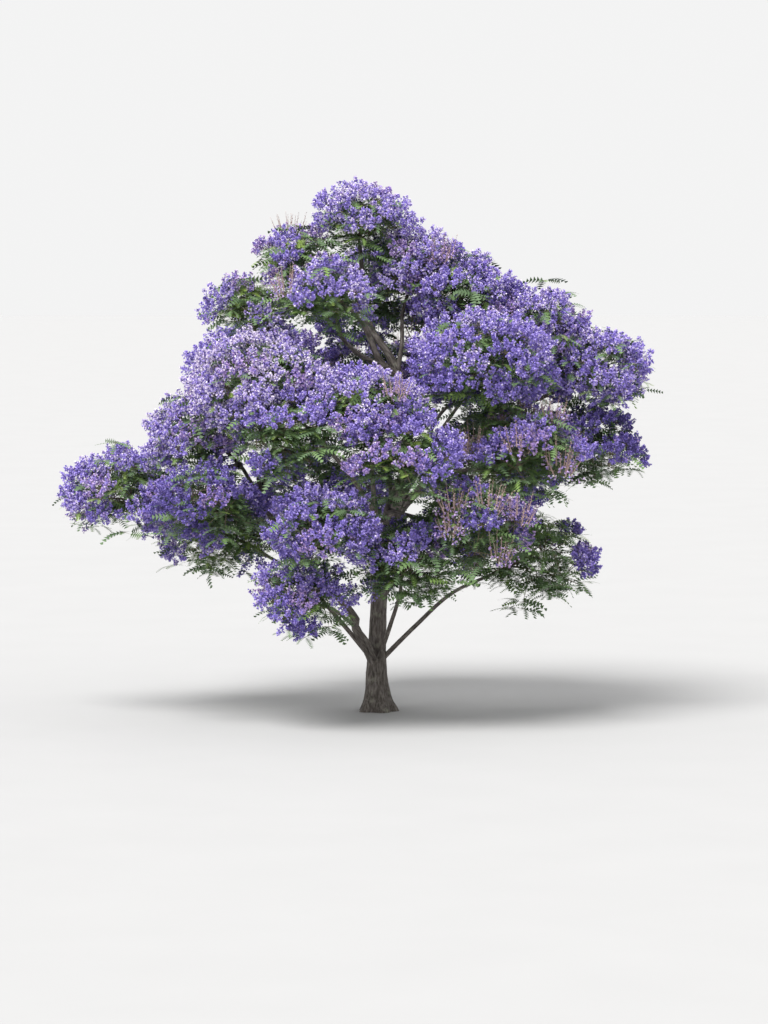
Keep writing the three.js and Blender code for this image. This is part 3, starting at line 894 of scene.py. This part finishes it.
def in_the_open(mass, point, way):
    """Whether light comes to a spray past the other masses: without it no blossom comes."""
    others = [other for other in masses if other is not mass]
    for direction in (way + UP, way + unit(point - CROWN_MIDDLE)):
        line = point + unit(direction) * LIGHT_REACH
        covered = np.any([other.depth(line) < COVERED_DEPTH for other in others], axis=0)
        if covered.sum() < COVERED_PLACES:
            return True
    return False


def age_in(mass, random):
    """Whether a spray of a mass is fresh, old or spent."""
    draw = random.random()
    spent = SPENT.get(mass.name, SPENT_ELSEWHERE)
    if draw < spent:
        return "spent"
    return "old" if draw < spent + OLD.get(mass.name, OLD_ELSEWHERE) else "fresh"


def place_for(mass, way, edge, depth):
    """Where a spray's twig ends, if it has room, and whether a neighbour holds it back from its edge."""
    under = edge - depth
    if own_space(mass, np.array([under, lerp(under, edge, OUTER_PART)])).all():
        return under, False
    ends = [mass.middle + way * mass.half * share for share in CROWDED_REACH]
    return next((end for end in ends if own_space(mass, end)), None), True


def grow_outside(sprays, mass, paths, random):
    """The sprays on the outside of a mass: blossom above its bloom line, and leaves."""
    line = BLOOM_LINES[mass.bloom]
    leafy = LEAFY_BY_MASS.get(mass.name, LEAFY_IN_BLOOM)
    # the painted light and shade of this mass
    shade = PAINTED_LIGHT_BY_MASS.get(mass.name, 0)
    count = round(SPRAYS * mass.spread ** 2)
    for way in spread_round(mass.pole, count, random.uniform(0, 2 * math.pi), SPRAY_LOWEST):
        way = unit(way + random.normal(0, SPRAY_STRAY, 3))
        above = way[2] + random.normal(0, BLOOM_LINE_BLUR) > line
        size = random.uniform(*SPRAY_SIZES)
        edge = mass.middle + way * mass.half * random.uniform(*REACH)
        lit = in_the_open(mass, edge, way)
        blooms = lit and random.random() < (1 - leafy if above else BLOOM_BELOW_LINE)
        axis = unit(way + UP * DOME_LIFT)
        depth = axis * size * DOME_DEPTH if blooms else way * LEAFY_DEPTH
        end, crowded = place_for(mass, way, edge, depth)
        if end is None:
            continue
        sprays.twig(nearest_on(paths, end), end, *OUTER_TWIG)
        # painted light: a spray's tone is paler towards the top of its mass, with a random spread
        tone = SIDE_TONE + TOP_PAINTED_LIGHT * way[2] + random.normal(0, SPRAY_TONE_SPREAD)
        leaf_tone = tone + shade * TONE_OF_LEAVES
        if blooms:
            blossom_dome(sprays, end, axis, size, tone + shade, leaf_tone, age_in(mass, random), random)
        elif crowded or not lit:
            shaded_spray(sprays, end, random)
        else:
            leafy_spray(sprays, end, size, leaf_tone, random)


def grow_inside(sprays, mass, paths, random):
    """The shaded leaves within a mass."""
    count = round(INNER_SPRAYS * mass.spread ** 2)
    for way in spread_round(mass.pole, count, random.uniform(0, 2 * math.pi), -1):
        shell = random.uniform(*INNER_SHELL) * (1 + INNER_SHELL_BELOW * max(-way[2], 0))
        end = mass.middle + way * mass.half * shell
        if own_space(mass, end):
            sprays.twig(nearest_on(paths, end), end, *INNER_TWIG)
            shaded_spray(sprays, end, random)


def grow_mass(sprays, index, mass):
    """A mass's stem and main twigs, by the part's rule, and the sprays that go on from them."""
    random = np.random.default_rng(index)
    stem = stem_of(mass)
    stem_path = sprays.stem(stem)
    twigs = main_twigs(mass, stem, seeded(MASS_SEED + index))
    paths = [sprays.twig(fork, end, *MAIN_TWIG) for fork, end in twigs]
    paths = paths or [stem_path[-TWIG_POINTS:]]
    grow_outside(sprays, mass, paths, random)
    grow_inside(sprays, mass, paths, random)


# Blossom

def flower_template():
    """A trumpet along +X, one long, with its stalk's end at the origin: the broad upper lip, and the
    lower one in two lobes."""
    points, faces = [(0, 0, 0)], []
    radius = FLOWER_MOUTH / 2
    for middle, half in FLOWER_LOBES:
        for degrees in (middle - half, middle + half):
            angle = math.radians(degrees)
            points.append((FLOWER_MOUTH_PLACE, radius * math.cos(angle), radius * math.sin(angle)))
        faces.append((0, len(points) - 2, len(points) - 1))
    return np.array(points), np.array(faces)


def petal_template():
    """One petal along +X, a little bent."""
    points = [(0, 0, 0), (0.6, 0.36, 0.08), (1, 0, -0.1), (0.6, -0.36, 0.08)]
    return np.array(points), np.array([(0, 3, 2), (0, 2, 1)])


def panicle_profile(share):
    """How wide a panicle is on its way up: a blunt foot, widest low down, and a point."""
    return (1 - share) ** 0.55 * (share + 0.2) ** 0.3 * 1.2


def over_panicles(panicles, count, random):
    """Places up and round every panicle: the share of its height, the direction away from its axis, and
    how far out its surface is there."""
    base, axis, height, _, _ = panicles
    share = np.broadcast_to(((np.arange(count) + 0.5) / count) ** 0.85, (len(base), count))
    angle = np.arange(count) * GOLDEN_ANGLE + random.uniform(0, 2 * math.pi, (len(base), 1))
    frames = frames_along(axis, np.array([1.0, 0.3, 0.1]))
    radial = np.stack([0 * angle, np.cos(angle), np.sin(angle)], -1)
    radial = np.einsum("pij,pfj->pfi", frames, radial)
    reach = height[:, None] * PANICLE_WIDTH / 2 * panicle_profile(share)
    spine = base[:, None] + (height[:, None] * share)[..., None] * axis[:, None]
    return share, radial, reach, spine


def flowers_of(panicles, random):
    """Every flower's root, direction, size, tone and whether it is faded, panicle by panicle."""
    _, axis, _, tone, age = panicles
    share, radial, reach, spine = over_panicles(panicles, FLOWERS_BY_PANICLE, random)
    shape = share.shape
    reach = reach * random.uniform(*FLOWER_REACH, shape)
    lift = axis[:, None] * lerp(*FLOWER_LIFT, share)[..., None]
    way = unit(radial + lift + random.normal(0, FLOWER_STRAY, radial.shape))
    size = FLOWER_LENGTH * lerp(*FLOWER_TAPER, share) * random.uniform(*FLOWER_SIZES, shape)
    root = spine + radial * np.maximum(reach - size * FLOWER_INSIDE, 0.004)[..., None]
    # painted light: flowers are paler towards the panicle's tip
    tones = tone[:, None] + FLOWER_PAINTED_LIGHT_RISE * (share - 0.5)
    tones = tones + random.normal(0, FLOWER_TONE_SPREAD, shape)
    kept = random.random(shape) < np.array([[FLOWERS_LEFT[a]] for a in age])
    faded = random.random(shape) < np.array([[FLOWERS_FADED[a]] for a in age])
    return root[kept], way[kept], size[kept], tones[kept], faded[kept]


def spent_template():
    """A bare panicle along +X: a stalk with short side stalks."""
    foot = [(0, SPENT_STALK, 0), (0, -SPENT_STALK / 2, 0.024), (0, -SPENT_STALK / 2, -0.024)]
    points = [*foot, (1, 0, 0)]
    faces = [(0, 1, 3), (1, 2, 3), (2, 0, 3)]
    for k in range(SPENT_SIDE_STALKS):
        share = lerp(0.15, 0.95, k / (SPENT_SIDE_STALKS - 1))
        angle = k * GOLDEN_ANGLE
        out = np.array([0.55, math.cos(angle), math.sin(angle)]) * lerp(*SPENT_SIDE_LENGTH, share)
        beside = np.array([0, -math.sin(angle), math.cos(angle)]) * SPENT_SIDE_WIDTH
        root = np.array([share, 0, 0])
        first = len(points)
        points += [tuple(root + beside), tuple(root - beside), tuple(root + out)]
        faces.append((first, first + 1, first + 2))
    return np.array(points, float), np.array(faces)


# Leaves

def leaf_template(droop, pairs, pinna_width):
    """A fern-like leaf along +X, one long: a midrib with pairs of narrow blades, the tip hanging."""
    def on_rib(x):
        return np.array([x, 0, -droop * x * x])

    points = [on_rib(0) + (0, MIDRIB, 0), on_rib(0) - (0, MIDRIB, 0), on_rib(1)]
    faces = [(0, 1, 2)]
    width = pinna_width / pairs
    for k in range(pairs):
        x = lerp(FIRST_PINNA, LAST_PINNA, k / (pairs - 1))
        length = PINNA_LENGTH * math.sin(math.pi * (0.2 + 0.68 * x)) ** 0.8
        for side in (-1, 1):
            tip = on_rib(x) + np.array([PINNA_LEAN, side, -PINNA_DROOP]) * length
            first = len(points)
            points += [on_rib(x - width / 2), on_rib(x + width / 2), tip]
            faces.append((first, first + 1, first + 2) if side > 0 else (first + 1, first, first + 2))
    return np.array(points, float), np.array(faces)


# The pieces

def toned(tones, table):
    """Splits rows among the colours of a table by their tone."""
    lowest = -math.inf
    for name, highest, tone in table:
        yield name, tone, (tones > lowest) & (tones <= highest)
        lowest = highest


def columns(rows):
    """Each column of some rows as an array."""
    return [np.array(column) for column in zip(*rows)]


def twig_piece(sprays):
    pile = Pile()
    for rows, sides in ((sprays.stems, 7), (sprays.twigs, 4), (sprays.shoots, 3)):
        add_tubes(pile, *columns(rows), sides)
    pile.piece("twigs", twig_finish(), "bark", mass_nodes)


def blossom_pieces(sprays, random):
    """The flowers, one piece for each colour."""
    root, way, size, tone, faded = flowers_of(columns(sprays.panicles), random)
    template = flower_template()
    frames = frames_along(way, UP + random.normal(0, 0.3, way.shape))
    groups = [(name, tint, chosen & ~faded) for name, tint, chosen in toned(tone, PETALS)]
    groups.append(("mauve", MAUVE, faded))
    for name, tint, chosen in groups:
        pile = Pile()
        add_copies(pile, template, frames[chosen], root[chosen], size[chosen])
        pile.piece(f"blossom_{name}", petal_finish(f"petals_{name}", tint), "blossom", mass_nodes)


def shaded_petal_piece(sprays, random):
    """The petals deep within the panicles, that are seen between the flowers, in a darker violet that
    paints the shade there.
    """
    panicles = columns([row for row in sprays.panicles if row[4] != "spent"])
    share, radial, reach, spine = over_panicles(panicles, SHADED_PETALS, random)
    middle = (spine + radial * (reach * SHADED_PETAL_REACH)[..., None]).reshape(-1, 3)
    way = unit(radial + random.normal(0, SHADED_PETAL_STRAY, radial.shape)).reshape(-1, 3)
    size = SHADED_PETAL_LENGTH * random.uniform(*SHADED_PETAL_SIZES, len(way))
    frames = frames_along(way, random.normal(0, 1, way.shape))
    pile = Pile()
    add_copies(pile, petal_template(), frames, middle - way * size[:, None] / 2, size)
    pile.piece("shaded_petals", petal_finish("petals_shaded", SHADED_VIOLET), "blossom", mass_nodes)


def spent_piece(sprays, random):
    """The bare stalks of the spent panicles."""
    base, axis, height, _, _ = columns([row for row in sprays.panicles if row[4] == "spent"])
    pile = Pile()
    upright = unit(axis + UP * SPENT_LIFT)
    frames = frames_along(upright, random.normal(0, 1, axis.shape))
    add_copies(pile, spent_template(), frames, base, height * SPENT_HEIGHT)
    pile.piece("spent_panicles", spent_finish(), "blossom", mass_nodes)


def leaf_pieces(sprays):
    """The leaves, one piece for each colour, with the shaded ones simpler and broader."""
    groups = [
        (sprays.leaves, OUTER_PINNA_PAIRS, PINNA_WIDTH["lit"]),
        (sprays.shaded_leaves, SHADED_PINNA_PAIRS, PINNA_WIDTH["shaded"]),
    ]
    piles = {name: Pile() for name, _, _ in LEAVES}
    for rows, pairs, pinna_width in groups:
        root, forward, upward, length, tone = columns(rows)
        frames = frames_along(forward, upward)
        kind = np.arange(len(root)) % len(LEAF_DROOPS)
        for name, _, chosen in toned(tone, LEAVES):
            for k, droop in enumerate(LEAF_DROOPS):
                these = chosen & (kind == k)
                template = leaf_template(droop, pairs, pinna_width)
                add_copies(piles[name], template, frames[these], root[these], length[these])
    for name, _, tint in LEAVES:
        piles[name].piece(f"leaves_{name}", leaf_finish(f"leaf_{name}", tint), "foliage", mass_nodes)


bark = bark_finish()
mass_nodes = [f"{mass.name}_mass" for mass in masses]
trunk_piece()
bough_piece()
sprays = Sprays()
for index, mass in enumerate(masses):
    grow_mass(sprays, index, mass)
print(len(sprays.panicles), "panicles,", len(sprays.leaves), "leaves,", len(sprays.shoots), "shoots")
twig_piece(sprays)
blossom_pieces(sprays, np.random.default_rng(FLOWER_SEED))
shaded_petal_piece(sprays, np.random.default_rng(PETAL_SEED))
spent_piece(sprays, np.random.default_rng(SPENT_SEED))
leaf_pieces(sprays)


# The floor, the light and the camera

def studio():
    bpy.ops.mesh.primitive_circle_add(vertices=96, radius=400, fill_type="NGON")
    floor = bpy.context.object
    floor.name = "floor"
    finish = Finish("floor")
    grey = finish.noise(finish.place(), 0.4, 2)
    pale = finish.mix(grey, colour(174, 174, 174), colour(178, 178, 178))
    floor.data.materials.append(finish.surface(Base_Color=pale, Roughness=0.9))

    world = bpy.data.worlds.new("soft_sky")
    world.use_nodes = True
    background = world.node_tree.nodes["Background"]
    background.inputs["Color"].default_value = (0.9, 0.9, 0.9, 1)
    background.inputs["Strength"].default_value = 1
    bpy.context.scene.world = world

    lamp = bpy.data.lights.new("soft_sun", "SUN")
    lamp.energy = 4.2
    lamp.angle = math.radians(35)
    lamp.color = (1, 0.99, 0.98)
    sun = bpy.data.objects.new("soft_sun", lamp)
    sun.rotation_euler = Vector((0.35, 0.55, -1)).to_track_quat("-Z", "Y").to_euler()
    bpy.context.scene.collection.objects.link(sun)


def camera():
    """From far off and a little above, with the foot of the tree low in the frame."""
    distance, pitch, aim = 90, math.radians(4), Vector((0.13, 0, 4.4))
    lens = bpy.data.cameras.new("camera")
    lens.lens = 143.8
    lens.clip_end = 1500
    view = bpy.data.objects.new("camera", lens)
    view.location = aim + distance * Vector((0, -math.cos(pitch), math.sin(pitch)))
    view.rotation_euler = (aim - view.location).to_track_quat("-Z", "Y").to_euler()
    bpy.context.scene.collection.objects.link(view)
    bpy.context.scene.camera = view


studio()
camera()
bpy.context.scene.view_settings.view_transform = "Standard"
